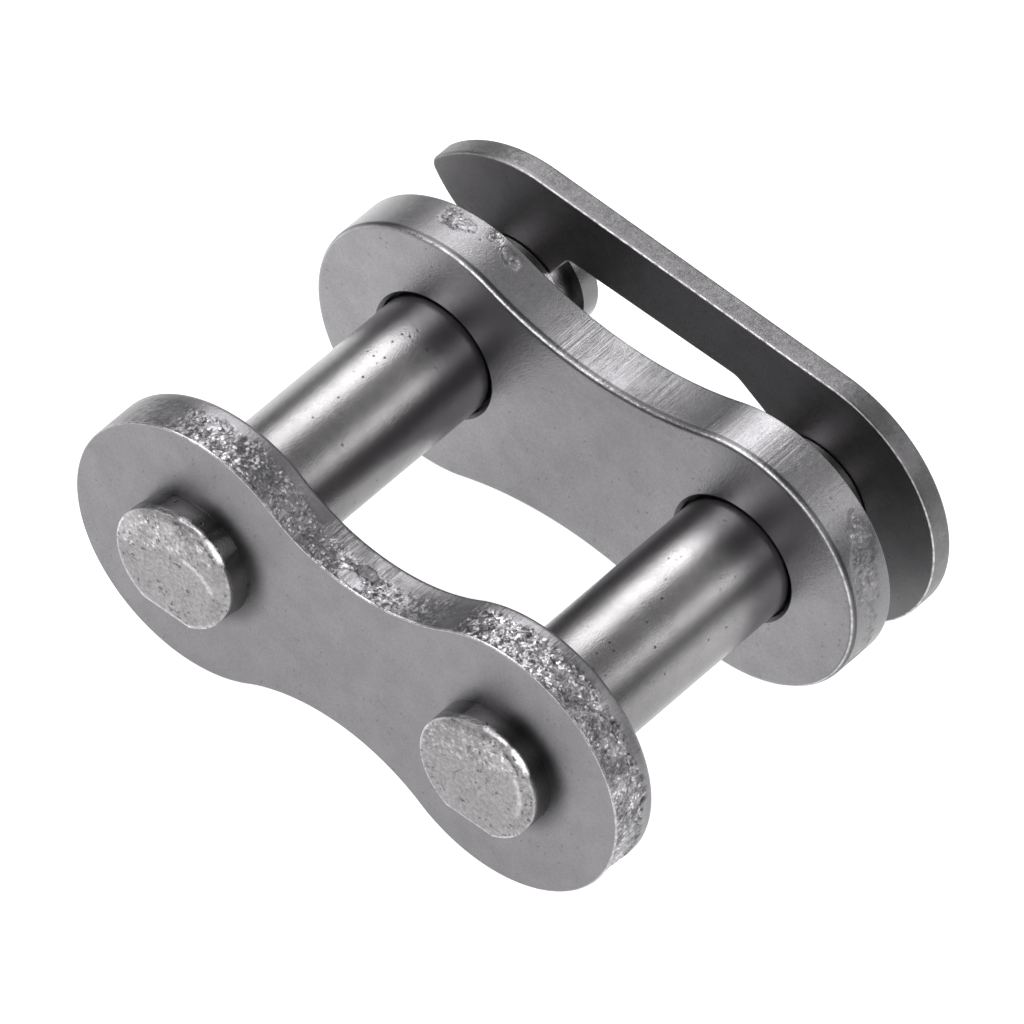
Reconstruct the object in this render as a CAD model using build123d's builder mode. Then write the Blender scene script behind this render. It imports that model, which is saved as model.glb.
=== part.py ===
from build123d import *
from math import asin, atan2, cos, degrees, radians, sin, tan
import os

# Connecting link of a roller chain, closed by a spring clip.
# Two pins are riveted into the fixed plate. A loose plate slips over their other ends,
# and a flat spring clip in the pins' grooves keeps it on.
#
# X runs from the left pin to the right pin, Y along the pins from the fixed plate to the
# clip, and Z up. The link stands on its long lower edge, with the origin in the middle of
# its box, on the surface that it stands on. Sizes are in millimetres.

os.makedirs("parts", exist_ok=True)

# Plates
pitch = 12.7                    # between the axes of the two pins
plate_thickness = 1.95
plate_end_radius = 5.05         # the round ends, about the pins' axes
fixed_waist_height = 6.45       # least height, half way between the pins
loose_waist_height = 7.75
plate_edge_rounding = 0.24      # drawn-in edge, where the punch entered the inner face
inner_width = 12.35             # between the plates with the loose plate against the clip
loose_plate_slack = 2.16        # how far the loose plate has slid in from the clip

# Pins
pin_diameter = 4.55
head_diameter = 4.66            # the riveted end, spread a little over its hole
head_height = 1.0
head_flats = 4.24               # across the two flats that the riveting tool leaves
head_chamfer = 0.08
groove_depth = 0.5
tail_length = 0.94              # the cap left beyond the groove
tail_chamfer = 0.2

# Spring clip, a flat blank with its closed end round the right pin
clip_thickness = 0.85
clip_end_radius = 5.14
leg_spread = 2.15               # degrees that each leg opens from the link's long axis
shoulder_radius = 5.14          # outer corner of each leg, at the open end
shoulder_x = 0.34               # its centre, past the left pin's axis
mouth_height = 6.6              # between the tips of the legs
throat_height = 3.0             # gap that the groove springs through into its seat
throat_x = -1.83                # where the flared mouth ends, from the left pin's axis
slot_height = 5.86              # the wide slot, at its end near the left pin
slot_taper = 0.91               # degrees that each side closes towards the right pin
lip_x = 1.2                     # where the left seat's lips end, from the left pin's axis
slot_start = 2.0                # ends of the wide slot, from the left pin's axis
slot_end = 9.15
seat_lead = 1.7                 # parallel run into the right seat, from its pin's axis
slot_corner_radius = 0.35

# Fits
loose_hole_clearance = 0.10     # the plate slips over the pins, on the radius
loose_hole_chamfer = 0.12
clip_side_clearance = 0.05      # the clip in its grooves, on each side

# Places along the pins
pin_radius = pin_diameter / 2
groove_radius = pin_radius - groove_depth
pin_reach = 2 * plate_thickness + inner_width + clip_thickness + clip_side_clearance + tail_length
fixed_outer_y = (head_height - pin_reach) / 2
fixed_inner_y = fixed_outer_y + plate_thickness
loose_inner_y = fixed_inner_y + inner_width - loose_plate_slack
clip_front_y = fixed_inner_y + inner_width + plate_thickness
groove_start_y = clip_front_y - clip_side_clearance
groove_end_y = clip_front_y + clip_thickness + clip_side_clearance
head_y = fixed_outer_y - head_height
tail_y = groove_end_y + tail_length

# The clip's leg runs straight from the closed end's arc to the shoulder's arc, and
# touches both. Distances are from the left pin's axis.
leg_touch_x = pitch + clip_end_radius * sin(radians(leg_spread))
leg_touch_z = clip_end_radius * cos(radians(leg_spread))
leg_offset = pitch * sin(radians(leg_spread)) + clip_end_radius
shoulder_z = (leg_offset - shoulder_radius - shoulder_x * sin(radians(leg_spread))) / cos(
    radians(leg_spread)
)
tip_angle = 180 - degrees(asin((mouth_height / 2 - shoulder_z) / shoulder_radius))
tip_x = shoulder_x + shoulder_radius * cos(radians(tip_angle))
flare = (mouth_height - throat_height) / 2 / (throat_x - tip_x)
outside_x = 2 * tip_x - throat_x

# The pins' axes in the frame, from the link's box
left_reach = max(plate_end_radius, -tip_x)
right_reach = max(plate_end_radius, clip_end_radius)
left_x = (left_reach - pitch - right_reach) / 2
pin_z = max(plate_end_radius, shoulder_z + shoulder_radius)


def across(y):
    """Plane across the pins: local x runs along the pitch from the left pin's axis."""
    return Plane(origin=(left_x, y, pin_z), x_dir=(1, 0, 0), z_dir=(0, -1, 0))


def plate_outline(waist_height):
    """Figure-of-eight outline: two round ends joined by arcs that touch both."""
    waist_radius = (pitch**2 / 4 + waist_height**2 / 4 - plate_end_radius**2) / (
        2 * plate_end_radius - waist_height
    )
    waist_z = waist_height / 2 + waist_radius
    touch = degrees(atan2(waist_z, pitch / 2))
    with BuildSketch() as outline:
        with BuildLine():
            CenterArc((0, 0), plate_end_radius, touch, 360 - 2 * touch)
            CenterArc((pitch / 2, -waist_z), waist_radius, touch, 180 - 2 * touch)
            CenterArc((pitch, 0), plate_end_radius, touch - 180, 360 - 2 * touch)
            CenterArc((pitch / 2, waist_z), waist_radius, touch - 180, 180 - 2 * touch)
        make_face()
    return outline.sketch


# Fixed plate: its holes hold the pins tight, and its rounded edge faces the loose plate
with BuildPart() as fixed_plate:
    with BuildSketch(across(fixed_outer_y)):
        add(plate_outline(fixed_waist_height))
        with Locations((0, 0), (pitch, 0)):
            Circle(pin_radius, mode=Mode.SUBTRACT)
    extrude(amount=-plate_thickness)
    inner_face = fixed_plate.faces().sort_by(Axis.Y)[-1]
    fillet(inner_face.outer_wire().edges(), radius=plate_edge_rounding)

# Loose plate: slides on the pins, with its rounded edge towards the fixed plate
with BuildPart() as loose_plate:
    with BuildSketch(across(loose_inner_y)):
        add(plate_outline(loose_waist_height))
        with Locations((0, 0), (pitch, 0)):
            Circle(pin_radius + loose_hole_clearance, mode=Mode.SUBTRACT)
    extrude(amount=-plate_thickness)
    hole_edges = loose_plate.edges().filter_by(GeomType.CIRCLE).filter_by(
        lambda edge: edge.is_closed
    )
    chamfer(hole_edges, length=loose_hole_chamfer)
    inner_face = loose_plate.faces().filter_by(Axis.Y).sort_by(Axis.Y)[0]
    fillet(inner_face.outer_wire().edges(), radius=plate_edge_rounding)

# Spring clip: the closed end and both legs, then the way in for the grooves
with BuildPart() as spring_clip:
    with BuildSketch(across(clip_front_y)):
        with BuildLine():
            CenterArc((pitch, 0), clip_end_radius, 0, 90 - leg_spread)
            shoulder = CenterArc(
                (shoulder_x, shoulder_z),
                shoulder_radius,
                90 - leg_spread,
                tip_angle - 90 + leg_spread,
            )
            Line((leg_touch_x, leg_touch_z), shoulder @ 0)
            Polyline(shoulder @ 1, (tip_x, 0), (pitch + clip_end_radius, 0))
        make_face()
        mirror(about=Plane.XZ)
    extrude(amount=-clip_thickness)

    with BuildSketch(across(clip_front_y)):
        with BuildLine():
            side = FilletPolyline(
                (outside_x, throat_height / 2 + flare * (throat_x - outside_x)),
                (throat_x, throat_height / 2),
                (lip_x, throat_height / 2),
                (slot_start, slot_height / 2),
                (slot_end, slot_height / 2 - (slot_end - slot_start) * tan(radians(slot_taper))),
                (pitch - seat_lead, groove_radius),
                (pitch, groove_radius),
                radius=slot_corner_radius,
            )
            mirror(side, about=Plane.XZ)
            Line(side @ 0, (outside_x, -(side @ 0).Y))
            Line(side @ 1, (pitch, -groove_radius))
        make_face()
        with Locations((0, 0), (pitch, 0)):
            Circle(groove_radius)
    extrude(amount=-clip_thickness, mode=Mode.SUBTRACT)

# Pins: the flattened head is upset from the shank, which is turned with its groove and tail
pins = []
for pin_name, along_pitch in (("left_pin", 0), ("right_pin", pitch)):
    pin_x = left_x + along_pitch
    with BuildPart() as pin:
        with BuildSketch(across(head_y)):
            with Locations((along_pitch, 0)):
                Circle(head_diameter / 2)
                Rectangle(head_diameter, head_flats, mode=Mode.INTERSECT)
        extrude(amount=-head_height)
        chamfer(pin.faces().sort_by(Axis.Y)[0].edges(), length=head_chamfer)

        with BuildSketch(Plane.XY.offset(pin_z)):
            with BuildLine():
                Polyline(
                    (pin_x, fixed_outer_y),
                    (pin_x + pin_radius, fixed_outer_y),
                    (pin_x + pin_radius, groove_start_y),
                    (pin_x + groove_radius, groove_start_y),
                    (pin_x + groove_radius, groove_end_y),
                    (pin_x + pin_radius, groove_end_y),
                    (pin_x + pin_radius, tail_y - tail_chamfer),
                    (pin_x + pin_radius - tail_chamfer, tail_y),
                    (pin_x, tail_y),
                    close=True,
                )
            make_face()
        revolve(axis=Axis((pin_x, 0, pin_z), (0, 1, 0)))
    pin.part.label = pin_name
    pins.append(pin.part)

fixed_plate.part.label = "fixed_plate"
loose_plate.part.label = "loose_plate"
spring_clip.part.label = "spring_clip"

for piece in [fixed_plate.part, loose_plate.part, spring_clip.part, *pins]:
    export_step(piece, f"parts/{piece.label}.step")
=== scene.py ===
# %% [markdown]
# # A chain connecting link, dressed for its portrait
# The link closes a roller chain. Two pins stand in a fixed plate, a loose plate slips over
# their other ends, and a flat spring clip in the pins' grooves keeps it on. All of it is
# plain steel, tumbled but neither plated nor painted. With no colour to lean on, the looks
# come from how each surface was made: torn and burnished edges on the blanked plates,
# ground pins with hammered heads, a dull clip.
#
# The solids arrive at their real size, in metres. They could be shown as they are, but
# their edges are sharp and their curves are facets, which polished steel gives away at
# once. So each of the five pieces is modelled again here, exactly where its solid stands.

# %% Load the solids
from math import asin, atan2, cos, degrees, exp, hypot, pi, radians, sin, sqrt, tan

import bmesh
import bpy
from mathutils import Matrix, Vector
from mathutils.noise import noise


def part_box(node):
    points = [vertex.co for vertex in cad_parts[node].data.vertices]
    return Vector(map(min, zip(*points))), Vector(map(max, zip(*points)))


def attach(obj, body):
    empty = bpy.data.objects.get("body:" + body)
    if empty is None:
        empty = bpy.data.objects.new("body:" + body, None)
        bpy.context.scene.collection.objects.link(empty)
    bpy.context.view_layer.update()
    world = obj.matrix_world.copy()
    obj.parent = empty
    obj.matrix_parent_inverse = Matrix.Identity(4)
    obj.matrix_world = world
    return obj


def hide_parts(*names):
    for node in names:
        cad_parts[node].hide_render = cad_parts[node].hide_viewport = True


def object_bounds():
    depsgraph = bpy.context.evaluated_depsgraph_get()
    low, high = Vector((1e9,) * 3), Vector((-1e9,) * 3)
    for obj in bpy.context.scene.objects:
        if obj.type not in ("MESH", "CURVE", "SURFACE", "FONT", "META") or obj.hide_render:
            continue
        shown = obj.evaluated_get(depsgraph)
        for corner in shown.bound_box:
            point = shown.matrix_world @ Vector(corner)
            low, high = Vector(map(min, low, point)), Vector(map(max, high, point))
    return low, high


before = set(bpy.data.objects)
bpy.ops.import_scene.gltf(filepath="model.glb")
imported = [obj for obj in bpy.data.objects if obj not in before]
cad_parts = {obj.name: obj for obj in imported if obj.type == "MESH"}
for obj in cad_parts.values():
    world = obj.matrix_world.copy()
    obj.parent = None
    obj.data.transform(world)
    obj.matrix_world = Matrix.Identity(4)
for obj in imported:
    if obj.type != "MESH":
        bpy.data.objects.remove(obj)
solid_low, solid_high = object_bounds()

MM = 0.001
print("solids:", ", ".join(sorted(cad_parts)))

# %% [markdown]
# ## Where everything is
# Both plates, both pins and the clip share a few places: the pins' two axes, and the
# faces that stack up along them. Reading them from the solids' boxes keeps every new piece
# on its solid, whatever happens to the sizes later. X runs from the left pin to the
# right one, Y along the pins from the fixed plate to the clip, and Z up.

# %% Places read from the solids
fixed_low, fixed_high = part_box("fixed_plate")
loose_low, loose_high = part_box("loose_plate")
clip_low, clip_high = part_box("spring_clip")
pin_low, pin_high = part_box("left_pin")

end_radius = (fixed_high.z - fixed_low.z) / 2
axis_z = (fixed_low.z + fixed_high.z) / 2
left_x = fixed_low.x + end_radius
right_x = fixed_high.x - end_radius
pitch = right_x - left_x
plate_thickness = fixed_high.y - fixed_low.y
print(f"pitch {pitch / MM:.2f} mm, plates {plate_thickness / MM:.2f} mm thick")

# %% [markdown]
# ## Hands for the bench
# Modelling in code works as it does by hand: make something, go into edit mode, select,
# act. An operator acts on all that is selected, so each step first selects exactly what
# it means. `pick` does that by asking a question of every vertex, edge or face, such as
# "do you lie in this plane?". An outline starts as one point. `line_to` drags a new point out
# of it, and `arc_about` spins it, the way a pencil is led along a ruler and a compass.

# %% Selecting and drawing
CLOSE = 0.002 * MM  # two places nearer than this count as the same
MERGED = 0.01 * MM  # an outline's ends nearer than this are joined


def alone(piece):
    """Makes piece the only selected object, and the active one."""
    if bpy.context.object and bpy.context.object.mode != "OBJECT":
        bpy.ops.object.mode_set(mode="OBJECT")
    bpy.ops.object.select_all(action="DESELECT")
    piece.select_set(True)
    bpy.context.view_layer.objects.active = piece


def edit(piece):
    """Opens piece alone in edit mode."""
    alone(piece)
    bpy.ops.object.mode_set(mode="EDIT")


def pick(piece, kind, wanted):
    """In edit mode, selects the VERT, EDGE or FACE parts for which wanted(part) is true."""
    bpy.ops.mesh.select_mode(type=kind)
    bpy.ops.mesh.select_all(action="DESELECT")
    mesh = bmesh.from_edit_mesh(piece.data)
    parts = {"VERT": mesh.verts, "EDGE": mesh.edges, "FACE": mesh.faces}[kind]
    for part in [part for part in parts if wanted(part)]:
        part.select_set(True)
    mesh.select_flush_mode()
    bmesh.update_edit_mesh(piece.data)


def start_point(name, place):
    """A new mesh of one vertex, selected and in edit mode: the start of an outline."""
    bpy.ops.object.select_all(action="DESELECT")
    bpy.ops.mesh.primitive_plane_add(size=MM)
    piece = bpy.context.object
    piece.name = name
    bpy.ops.object.mode_set(mode="EDIT")
    bpy.ops.mesh.select_mode(type="VERT")
    bpy.ops.mesh.select_all(action="SELECT")
    bpy.ops.mesh.merge(type="CENTER")
    bpy.ops.transform.translate(value=place)
    return piece


def line_to(start, end):
    """Extrudes the selected vertex from start to end, and returns end."""
    along = Vector(end) - Vector(start)
    bpy.ops.mesh.extrude_region_move(TRANSFORM_OT_translate={"value": along})
    return Vector(end)


def arc_about(centre, turn, step_length, radius):
    """Spins the selected vertex about an axis along Y. A positive turn goes from X to Z."""
    steps = max(1, round(abs(turn) * radius / step_length))
    bpy.ops.mesh.spin(steps=steps, angle=turn, center=centre, axis=(0, 1, 0))


def thicken(depth):
    """Extrudes the selected flat face along Y, and turns the faces outwards."""
    bpy.ops.mesh.extrude_region_move(TRANSFORM_OT_translate={"value": (0, depth, 0)})
    bpy.ops.mesh.select_all(action="SELECT")
    bpy.ops.mesh.normals_make_consistent(inside=False)


def apply_modifiers(piece):
    """Applies what is on piece, top to bottom."""
    alone(piece)
    for modifier in list(piece.modifiers):
        bpy.ops.object.modifier_apply(modifier=modifier.name)

# %% [markdown]
# ## The plates
# A press punches both plates out of strip steel, one stroke each. The outline is a figure
# of eight: a round end about each pin, and a waist that runs tangent into both. It could be
# drawn as a list of points, but arcs say it exactly: one point, spun about the left
# pin, about the centre of the lower waist, about the right pin, and home about the upper
# waist. Short steps now give the torn edge something to work with later.

# %% Plate blank
def plate_blank(name, waist_height, outer_y, inner_y, step):
    """A flat plate from outer_y to inner_y with square edges, left open in edit mode."""
    half = pitch / 2
    waist_radius = half**2 + waist_height**2 / 4 - end_radius**2
    waist_radius /= 2 * end_radius - waist_height
    waist_z = waist_height / 2 + waist_radius
    touch = atan2(waist_z, half)
    middle_x = left_x + half
    start = (left_x + end_radius * cos(touch), outer_y, axis_z + end_radius * sin(touch))
    plate = start_point(name, start)
    arc_about((left_x, outer_y, axis_z), 2 * (pi - touch), step, end_radius)
    arc_about((middle_x, outer_y, axis_z - waist_z), -(pi - 2 * touch), step, waist_radius)
    arc_about((right_x, outer_y, axis_z), 2 * (pi - touch), step, end_radius)
    arc_about((middle_x, outer_y, axis_z + waist_z), -(pi - 2 * touch), step, waist_radius)
    bpy.ops.mesh.select_all(action="SELECT")
    bpy.ops.mesh.remove_doubles(threshold=MERGED)
    bpy.ops.mesh.edge_face_add()
    thicken(inner_y - outer_y)
    return plate

# %% [markdown]
# ### What the punch leaves
# The punch first drags the sheet's surface down, so the side it enters gets a
# round edge. Then it shears a smooth band, and last the metal tears and leaves a burr. The
# rounding is a bevel of the inner face's outline, and a very small one breaks the burr on
# the outer edge. A thin ring inset around each flat face keeps it shading flat right up to
# its bevels and holes.

# %% Rims and rows
RING = 0.03 * MM


def lies_at(y):
    """A test for edges or faces that lie in the plane at y."""
    return lambda part: all(abs(v.co.y - y) < CLOSE for v in part.verts)


def height_along_y(edge):
    """How far the edge reaches along Y."""
    return abs(edge.verts[0].co.y - edge.verts[1].co.y)


def round_rim(piece, y, radius, segments):
    """Rounds the outline in the plane at y."""
    pick(piece, "EDGE", lies_at(y))
    bpy.ops.mesh.bevel(offset=radius, segments=segments, affect="EDGES", profile=0.5)


def ring_inside(piece, y):
    """Insets a thin ring along every edge of the flat face at y."""
    pick(piece, "FACE", lies_at(y))
    bpy.ops.mesh.inset(thickness=RING, depth=0)


def add_rows(piece, rows, least=0.8 * MM):
    """Cuts the straight part of the edge band into rows, parallel to the faces."""
    pick(piece, "EDGE", lambda edge: height_along_y(edge) > least)
    bpy.ops.mesh.subdivide(number_cuts=rows - 1)

# %% [markdown]
# ### Pin holes
# Drilling is a boolean: a cylinder is taken away from the plate. The fixed plate's
# holes are as tight as the pins, which are pressed in. The loose plate's are a tenth of a
# millimetre larger all round, with a small countersink, and that dark ring of air shows
# where each pin goes through.

# %% Drill
HOLE_SIDES = 192


def drill(piece, x, radius, countersink=0.0):
    """Drills a hole along Y at x, with both its edges broken by a countersink."""
    low = min(v.co.y for v in piece.data.vertices)
    high = max(v.co.y for v in piece.data.vertices)
    bpy.ops.object.select_all(action="DESELECT")
    bpy.ops.mesh.primitive_cylinder_add(
        vertices=HOLE_SIDES,
        radius=radius,
        depth=high - low + 2 * MM,
        location=(x, (low + high) / 2, axis_z),
        rotation=(pi / 2, 0, 0),
    )
    tool = bpy.context.object
    bpy.ops.object.transform_apply(location=True, rotation=True)
    cut = piece.modifiers.new("hole", "BOOLEAN")
    cut.object = tool
    cut.operation = "DIFFERENCE"
    apply_modifiers(piece)
    bpy.data.objects.remove(tool)
    if countersink:

        def on_hole(edge):
            off = [abs(hypot(v.co.x - x, v.co.z - axis_z) - radius) for v in edge.verts]
            return max(off) < CLOSE and height_along_y(edge) < CLOSE

        edit(piece)
        pick(piece, "EDGE", on_hole)
        bpy.ops.mesh.bevel(offset=countersink, segments=1, affect="EDGES")
        bpy.ops.object.mode_set(mode="OBJECT")

# %% Make both plates
FIXED_WAIST = 6.45 * MM
LOOSE_WAIST = 7.75 * MM
ROUNDED = 0.24 * MM
BROKEN = 0.06 * MM
PIN_RADIUS = 2.275 * MM
LOOSE_GAP = 0.10 * MM
COUNTERSINK = 0.12 * MM



def whole_plate(name, waist_height, outer_y, inner_y, step, rows, gap, countersink):
    """A plate with its rims rounded, its edge band cut into rows and its holes drilled."""
    plate = plate_blank(name, waist_height, outer_y, inner_y, step)
    round_rim(plate, inner_y, ROUNDED, segments=7)
    round_rim(plate, outer_y, BROKEN, segments=4)
    for y in (inner_y, outer_y):
        ring_inside(plate, y)
    add_rows(plate, rows)
    bpy.ops.object.mode_set(mode="OBJECT")
    for x in (left_x, right_x):
        drill(plate, x, PIN_RADIUS + gap, countersink)
    print(name, len(plate.data.vertices), "vertices")
    return plate


fixed_plate = whole_plate(
    "fixed_plate_steel", FIXED_WAIST, fixed_low.y, fixed_high.y,
    step=0.05 * MM, rows=32, gap=0, countersink=0,
)
loose_plate = whole_plate(
    "loose_plate_steel", LOOSE_WAIST, loose_high.y, loose_low.y,
    step=0.07 * MM, rows=24, gap=LOOSE_GAP, countersink=COUNTERSINK,
)

# %% [markdown]
# ### Marks on the metal
# The rest of a plate's character changes from place to place along its edge: where the
# metal tore, how rough it is there, how bright the rim is, partly rubbed and partly a
# painted highlight, and how much light and shade is painted along the band. Each of these
# is worked out once for every vertex as a number, and `mark` stores it as an attribute for
# the material to read. `ease` goes smoothly from 0 to 1, `between` reads a table of places
# and amounts, and `in_patch` is a ragged blot of its own.

# %% Tools for marks
def ease(low, high, value):
    """Goes smoothly from 0 at low to 1 at high."""
    t = min(max((value - low) / (high - low), 0), 1)
    return t * t * (3 - 2 * t)


def wander(place, size):
    """Smooth noise of about that size along an outline, from -1 to 1."""
    return noise(Vector((place.x, 0, place.z)) / size)


def in_patch(place, across, patch):
    """1 well inside a patch (x from the left pin, share across, half length, half height)."""
    x, middle, half_length, half_height = patch
    away = hypot((place.x - left_x - x) / half_length, (across - middle) / half_height)
    ragged = 0.35 * noise(place / (0.4 * MM)) + 0.25 * noise(place / (0.15 * MM))
    return ease(1.12, 0.88, away + ragged)


def on_band(place):
    """True on the outside edge of a plate, and false in its holes."""
    from_pins = [hypot(place.x - x, place.z - axis_z) for x in (left_x, right_x)]
    return min(from_pins) > PIN_RADIUS + 0.5 * MM


def mark(piece, name, amount_at, grouped=False):
    """Stores amount_at(place) of every vertex as an attribute, and as a vertex group if grouped."""
    amounts = [amount_at(vertex.co) for vertex in piece.data.vertices]
    if grouped:
        group = piece.vertex_groups.new(name=f"{name}_group")
        for index, amount in enumerate(amounts):
            if amount > 0:
                group.add([index], amount, "REPLACE")
    attribute = piece.data.attributes.new(name, "FLOAT", "POINT")
    attribute.data.foreach_set("value", amounts)


def between(table, place):
    """Reads a table of (millimetres from the left pin, amount) at place, straight between rows."""
    value = (place.x - left_x) / MM
    if value <= table[0][0]:
        return table[0][1]
    for (low, first), (high, second) in zip(table, table[1:]):
        if value <= high:
            return first + (second - first) * (value - low) / (high - low)
    return table[-1][1]

# %% [markdown]
# ### Where the metal tore
# On the fixed plate the punch sheared only the inner quarter of the edge smoothly. The line
# to the torn metal wanders, and it comes further forward at the waist. One flake there
# stayed smooth and is painted lighter, as a highlight, one beside it is darker, and painted
# shade runs round the edge of both. Along the band the metal is also painted lighter or
# darker, as light and shade. The torn marks are stored twice: as an attribute for the
# material, and as a vertex group, so that modifiers can roughen only the torn metal.

# %% Marks on the fixed plate
ROUGHNESS_ALONG = (
    (-3.2, 0.3), (-1.6, 0.4), (-1.0, 1.0), (2.0, 0.9), (4.5, 0.8), (5.6, 0.9), (7.4, 0.9),
    (8.2, 0.35), (10.2, 0.35), (11.0, 1.15), (13.2, 1.25), (14.4, 1.2), (17.8, 1.2),
)
# Painted light and shade: how much lighter or darker the band is painted along the plate.
PAINTED_LIGHT_ALONG = (
    (-3.0, 0.7), (-1.6, 0.75), (-0.8, 1.1), (2.0, 1.0), (4.6, 1.0), (6.4, 1.1), (7.4, 0.85),
    (8.2, 0.66), (10.6, 0.72), (11.6, 1.25), (17.8, 1.25),
)
BAND_START = 0.035  # shares of the plate's thickness, from its outer face
TORN_TO = 0.72
BAND_END = 0.97
# The first flake stays smooth and gets a painted highlight; the second is less torn and darker.
SMOOTH_FLAKE_WITH_HIGHLIGHT = (5.95 * MM, 0.20, 0.5 * MM, 0.15)
DARK_FLAKE = (6.2 * MM, 0.48, 0.6 * MM, 0.12)


def torn_fixed(place):
    """How torn the fixed plate is at place, from 0 for smooth metal."""
    across = (place.y - fixed_low.y) / plate_thickness
    if not on_band(place) or not BAND_START < across < BAND_END:
        return 0
    from_waist = (place.x - left_x - pitch / 2) / (2.2 * MM)
    edge = TORN_TO - 0.17 * exp(-(from_waist**2))
    edge += 0.08 * wander(place, 0.9 * MM) + 0.06 * wander(place, 0.25 * MM)
    torn = ease(edge + 0.03, edge - 0.03, across)
    torn *= ease(-4.2 * MM, -3.0 * MM, place.x - left_x) * between(ROUGHNESS_ALONG, place)
    torn *= 1 - in_patch(place, across, SMOOTH_FLAKE_WITH_HIGHLIGHT)
    return torn * (1 - 0.6 * in_patch(place, across, DARK_FLAKE))


def painted_shading_fixed(place):
    """Painted light and shade on the fixed plate's band, against plain steel, with a painted
    highlight on the smooth flake and painted shade round both flakes.
    """
    across = (place.y - fixed_low.y) / plate_thickness
    if not on_band(place) or not BAND_START < across < BAND_END:
        return 1.0
    # Painted light and shade along the band, fading out near the inner rim.
    tone = 1 + (between(PAINTED_LIGHT_ALONG, place) - 1) * ease(0.85, 0.65, across)
    # The smooth flake gets a painted highlight and the other a darker tone; the last term is
    # painted shade round each flake's edge.
    for patch, inside in ((SMOOTH_FLAKE_WITH_HIGHLIGHT, 1.6), (DARK_FLAKE, 0.5)):
        amount = in_patch(place, across, patch)
        tone *= 1 + (inside - 1) * amount - 2.4 * amount * (1 - amount)
    return max(tone, 0.25)

# %% [markdown]
# ### Patches on the loose plate
# The loose plate was sheared smooth nearly all the way, so only a few patches are torn. Its
# smooth band takes its light from all round, which a few rows of painted light and shade
# along it follow, and a painted line of shade shows where the rounding ends. Both plates
# also get the strength of the lines that the punch drew into the edge, and how bright the
# rim in front is, partly rubbed and partly a painted highlight.

# %% Marks on the loose plate
LOOSE_PATCHES = (
    (-0.7 * MM, 0.70, 0.65 * MM, 0.20),
    (0.7 * MM, 0.86, 0.35 * MM, 0.10),
    (1.55 * MM, 0.72, 0.40 * MM, 0.13),
    (16.7 * MM, 0.66, 0.55 * MM, 0.22),
    (17.3 * MM, 0.45, 0.45 * MM, 0.26),
)


def torn_loose(place):
    """How torn the loose plate is at place, from 0 for smooth metal."""
    across = (place.y - loose_low.y) / plate_thickness
    if not on_band(place) or not 0.14 < across < BAND_END or place.z < axis_z - 2 * MM:
        return 0
    strength = 0.75 if place.x < left_x + pitch / 2 else 0.55
    return strength * max(in_patch(place, across, patch) for patch in LOOSE_PATCHES)


# Painted light and shade along the loose plate's smooth band.
LOOSE_PAINTED_LIGHT_ALONG = (
    (-2.0, 0.9), (-0.9, 0.66), (0.0, 0.78), (0.8, 0.95), (4.0, 0.85), (6.5, 0.95), (7.5, 0.68),
    (9.5, 0.42), (10.5, 0.45), (11.3, 0.75), (12.3, 1.15), (13.3, 0.75), (14.5, 1.1), (17.5, 0.65),
)
SKIPPED = 0.01 * MM  # the corners of the band that carry no marks


def painted_shading_loose(place):
    """Painted light and shade along the loose plate's band, with a line of painted shade where the
    rounding ends.
    """
    depth = place.y - loose_low.y
    if not on_band(place) or not SKIPPED < depth < plate_thickness - SKIPPED:
        return 1.0
    # A line of painted shade where the rounding ends.
    on_painted_shade_line = 0.12 * MM < depth < 0.22 * MM
    return between(LOOSE_PAINTED_LIGHT_ALONG, place) * (0.45 if on_painted_shade_line else 1.0)

# %% Lines, and rims bright from rubbing and a painted highlight, on both
FIXED_LINES = ((-3.0, 0.4), (3.8, 0.4), (4.6, 2.6), (7.4, 2.6), (8.4, 0.6), (17.8, 0.6))
LOOSE_LINES = ((3.8, 0.1), (4.6, 1.0), (8.5, 1.0), (9.5, 0.4), (14.0, 0.5), (17.0, 0.2))
# How bright the rim in front is along each plate: partly rubbing, partly a painted highlight.
FIXED_WEAR_AND_HIGHLIGHT = ((-3.0, 0.5), (-1.0, 1.0), (4.0, 1.0), (17.8, 0.8))
LOOSE_WEAR_AND_HIGHLIGHT = (
    (-1.6, 0.1), (0.2, 1.0), (4.2, 1.0), (5.4, 0.5), (10.5, 0.4), (11.8, 1.0), (13.6, 0.9),
    (14.4, 0.4),
)


def lined_at(outer_y, inner_y, lines):
    """A test for mark: how strong the punch's lines are on the edge band, and 0 off it."""
    low, high = sorted((outer_y, inner_y))

    def lined(place):
        if not on_band(place) or not low + SKIPPED < place.y < high - SKIPPED:
            return 0.0
        return between(lines, place)

    return lined


def wear_and_highlight_at(y, from_depth, to_depth, wear_and_highlight_table):
    """A test for mark: how bright the rim is, partly rubbed and partly a painted highlight, between
    two depths behind the face at y.
    """

    def wear_and_highlight(place):
        if not on_band(place) or not from_depth < abs(place.y - y) < to_depth:
            return 0.0
        return between(wear_and_highlight_table, place)

    return wear_and_highlight


mark(fixed_plate, "torn", torn_fixed, grouped=True)
mark(fixed_plate, "lined", lined_at(fixed_low.y, fixed_high.y, FIXED_LINES))
mark(fixed_plate, "wear_and_highlight", wear_and_highlight_at(fixed_low.y, 0.004 * MM, 0.061 * MM, FIXED_WEAR_AND_HIGHLIGHT))
mark(fixed_plate, "shade", painted_shading_fixed)
mark(loose_plate, "torn", torn_loose, grouped=True)
mark(loose_plate, "lined", lined_at(loose_low.y, loose_high.y, LOOSE_LINES))
mark(loose_plate, "wear_and_highlight", wear_and_highlight_at(loose_low.y, 0.034 * MM, 0.071 * MM, LOOSE_WEAR_AND_HIGHLIGHT))
mark(loose_plate, "shade", painted_shading_loose)

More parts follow.
